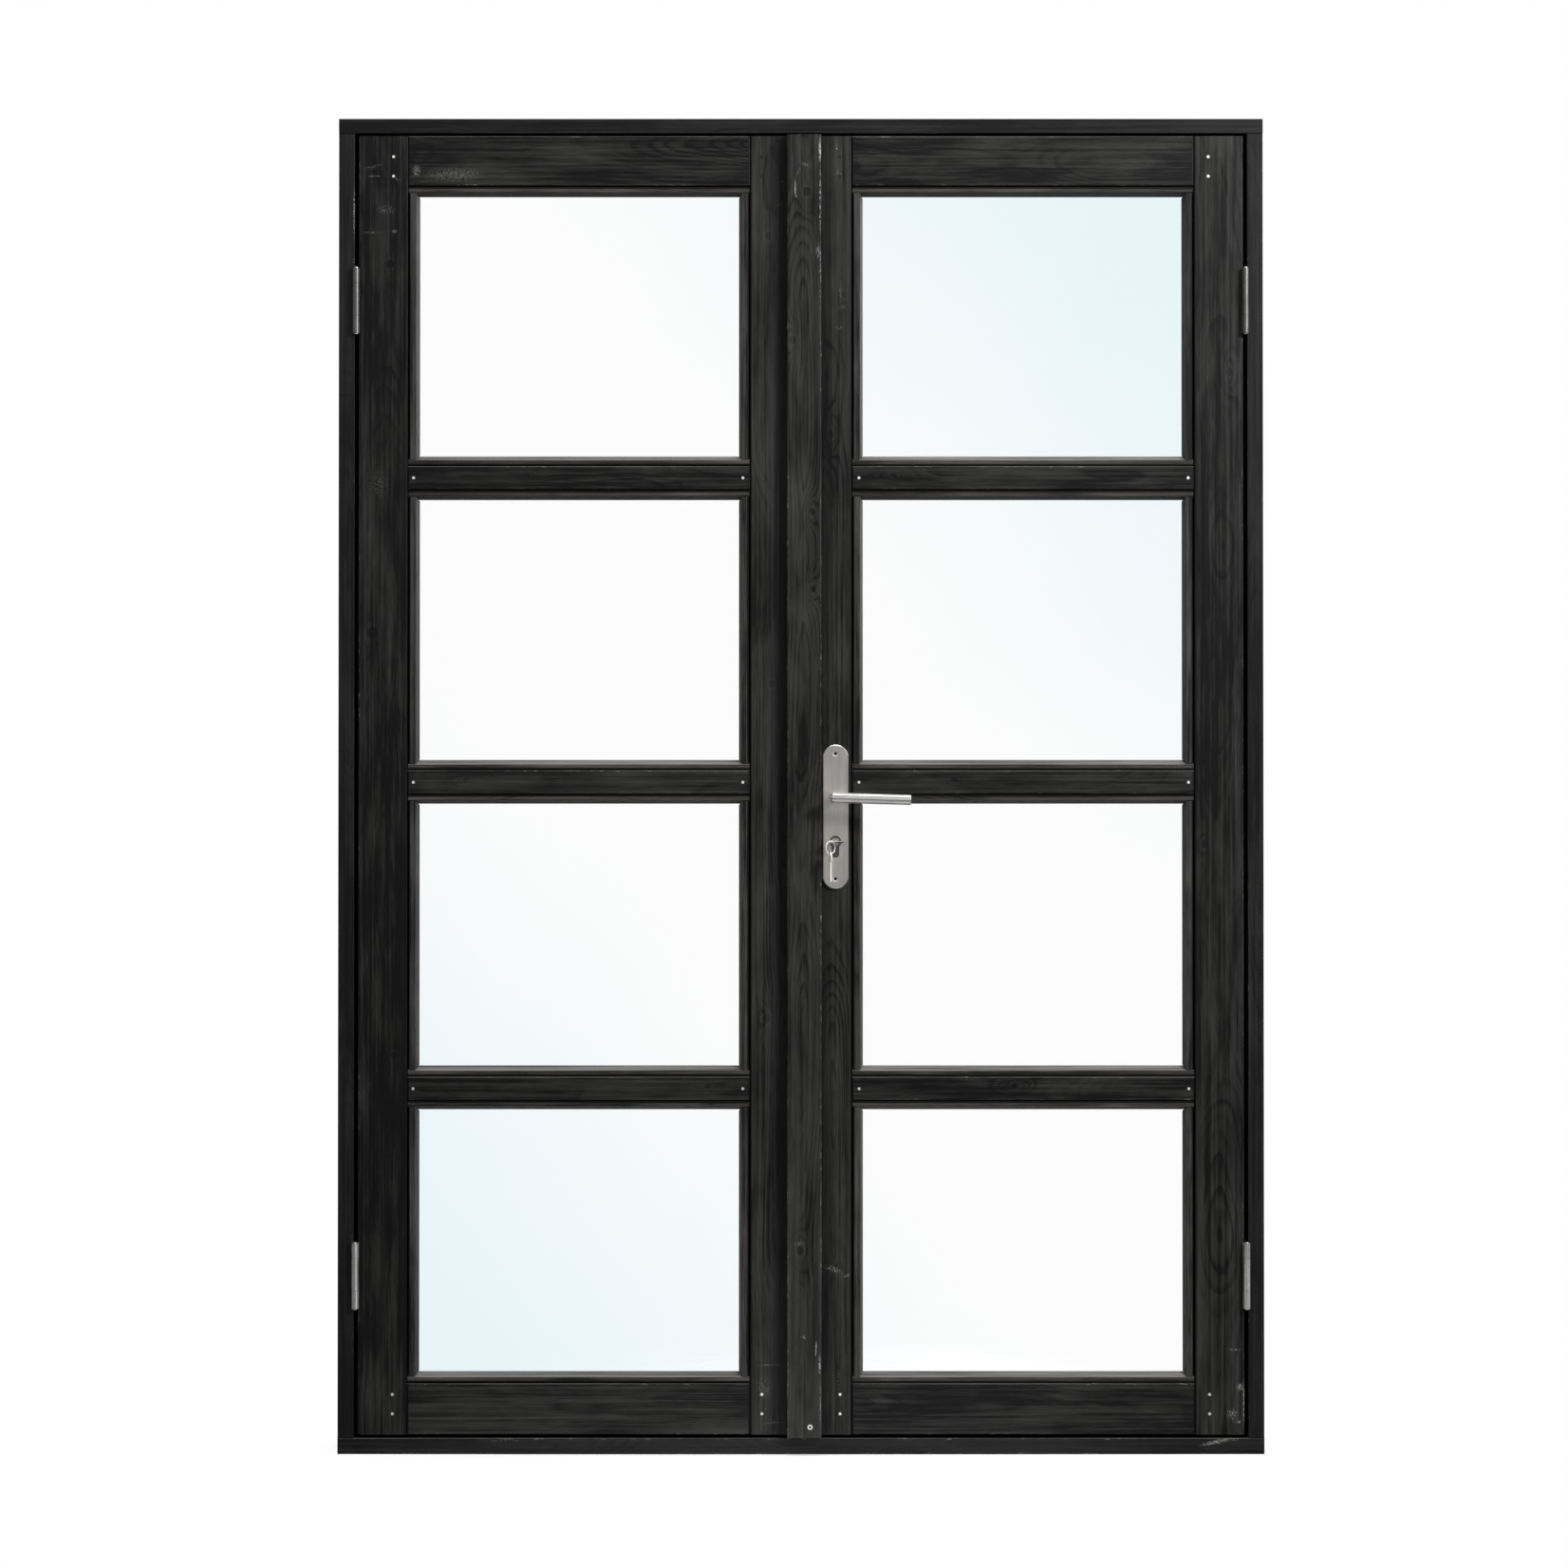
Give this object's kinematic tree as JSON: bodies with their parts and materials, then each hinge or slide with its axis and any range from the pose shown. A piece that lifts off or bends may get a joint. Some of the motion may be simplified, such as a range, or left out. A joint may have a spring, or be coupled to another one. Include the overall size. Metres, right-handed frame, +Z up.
{
  "type": "glazed timber french doors",
  "caption": "Pair of black-stained timber french doors hung in their frame, each leaf glazed in a column of panes, with a lever lock, cylinder and keys.",
  "frame": {"origin": "middle of the sill's underside, half way through the frame's depth", "axes": "+Z up, +X to the right as the front is faced, -Y towards the front, where the hinge knuckles, the cover strip and the key are and where the leaves open to"},
  "size_m": [1.49, 0.1614, 2.15],
  "materials": {
    "frame_timber": "spruce stained black, satin",
    "leaf_timber": "spruce stained black, satin, knots and grain showing",
    "bead_timber": "spruce stained black, satin",
    "cover_strip_timber": "spruce stained black, satin",
    "glass": "clear float glass",
    "hinge_steel": "plain steel, satin",
    "brushed_stainless": "brushed along its length",
    "zinc_plated_steel": "bright zinc",
    "nickel_plate": "satin nickel",
    "key_steel": "nickel, lightly worn",
    "seal_rubber": "matt"
  },
  "bodies": {
    "frame": {"frame_head": "frame_timber", "frame_sill": "frame_timber", "jamb_left": "frame_timber", "jamb_right": "frame_timber", "frame_corner_screws": "zinc_plated_steel", "weather_seal": "seal_rubber", "flush_bolt_keeps": "zinc_plated_steel", "hinge_leaves_frame_left": "hinge_steel", "hinge_leaves_frame_right": "hinge_steel", "hinge_pins": "hinge_steel", "frame_hardware_screws": "zinc_plated_steel"},
    "left_leaf": {"left_hinge_stile": "leaf_timber", "left_meeting_stile": "leaf_timber", "left_top_rail": "leaf_timber", "left_bottom_rail": "leaf_timber", "left_upper_glazing_rail": "leaf_timber", "left_middle_glazing_rail": "leaf_timber", "left_lower_glazing_rail": "leaf_timber", "left_glass_panes": "glass", "left_beads_across": "bead_timber", "left_beads_upright": "bead_timber", "left_leaf_nails": "zinc_plated_steel", "hinge_leaves_door_left": "hinge_steel", "strike_plate": "zinc_plated_steel", "flush_bolt_plates": "zinc_plated_steel", "left_leaf_screws": "zinc_plated_steel"},
    "top_bolt": {"flush_bolt_top": "zinc_plated_steel"},
    "bottom_bolt": {"flush_bolt_bottom": "zinc_plated_steel"},
    "right_leaf": {"right_hinge_stile": "leaf_timber", "right_meeting_stile": "leaf_timber", "right_top_rail": "leaf_timber", "right_bottom_rail": "leaf_timber", "right_upper_glazing_rail": "leaf_timber", "right_middle_glazing_rail": "leaf_timber", "right_lower_glazing_rail": "leaf_timber", "right_glass_panes": "glass", "right_beads_across": "bead_timber", "right_beads_upright": "bead_timber", "right_leaf_nails": "zinc_plated_steel", "hinge_leaves_door_right": "hinge_steel", "cover_strip": "cover_strip_timber", "right_leaf_screws": "zinc_plated_steel", "lock_case": "zinc_plated_steel", "lock_forend": "brushed_stainless", "handle_plate_outer": "brushed_stainless", "handle_plate_inner": "brushed_stainless", "lock_and_handle_screws": "zinc_plated_steel", "cylinder_body": "nickel_plate", "cylinder_plug_inner": "nickel_plate"},
    "levers": {"lever_outer": "brushed_stainless", "lever_inner": "brushed_stainless", "spindle": "zinc_plated_steel", "lock_hub": "zinc_plated_steel"},
    "latch": {"latch_bolt": "nickel_plate"},
    "dead_bolt": {"deadbolt": "nickel_plate"},
    "key_and_plug": {"cylinder_plug": "nickel_plate", "cylinder_cam": "nickel_plate", "key": "key_steel"},
    "split_ring": {"key_ring": "key_steel"},
    "second_key": {"spare_key": "key_steel"}
  },
  "joints": [
    {"name": "left_leaf_swing", "type": "hinge", "parent": "frame", "child": "left_leaf", "pos_m": [-0.71625, -0.0533, 1.07], "axis": [0, 0, -1], "range_deg": [0, 110]},
    {"name": "right_leaf_swing", "type": "hinge", "parent": "frame", "child": "right_leaf", "pos_m": [0.71625, -0.0533, 1.07], "axis": [0, 0, 1], "range_deg": [0, 110]},
    {"name": "lever_turn", "type": "hinge", "parent": "right_leaf", "child": "levers", "pos_m": [0.0555, -0.025, 1.0557], "axis": [0, 1, 0], "range_deg": [0, 40], "stiffness_Nm_per_rad": 1.2, "springref_deg": -34.38},
    {"name": "latch_slide", "type": "slide", "parent": "right_leaf", "child": "latch", "axis": [1, 0, 0], "range_m": [0, 0.011]},
    {"name": "key_turn", "type": "hinge", "parent": "right_leaf", "child": "key_and_plug", "pos_m": [0.0555, -0.055, 0.9844], "axis": [0, 1, 0], "range_deg": [0, 360]},
    {"name": "deadbolt_slide", "type": "slide", "parent": "right_leaf", "child": "dead_bolt", "axis": [-1, 0, 0], "range_m": [0, 0.02]},
    {"name": "top_bolt_slide", "type": "slide", "parent": "left_leaf", "child": "top_bolt", "axis": [0, 0, 1], "range_m": [0, 0.015]},
    {"name": "bottom_bolt_slide", "type": "slide", "parent": "left_leaf", "child": "bottom_bolt", "axis": [0, 0, -1], "range_m": [0, 0.015]},
    {"name": "key_ring_swing", "type": "hinge", "parent": "key_and_plug", "child": "split_ring", "pos_m": [0.04712, -0.08338, 0.9844], "axis": [-0.7071, -0.7071, 0], "range_deg": [-15, 15]},
    {"name": "second_key_swing", "type": "hinge", "parent": "split_ring", "child": "second_key", "pos_m": [0.04712, -0.08338, 0.9656], "axis": [-0.7071, -0.7071, 0], "range_deg": [-12, 12]}
  ],
  "couplings": [
    {"joint": "latch_slide", "follows": "lever_turn", "m_per_rad": 0.01575},
    {"joint": "deadbolt_slide", "follows": "key_turn", "m_per_rad": 0.00318}
  ]
}
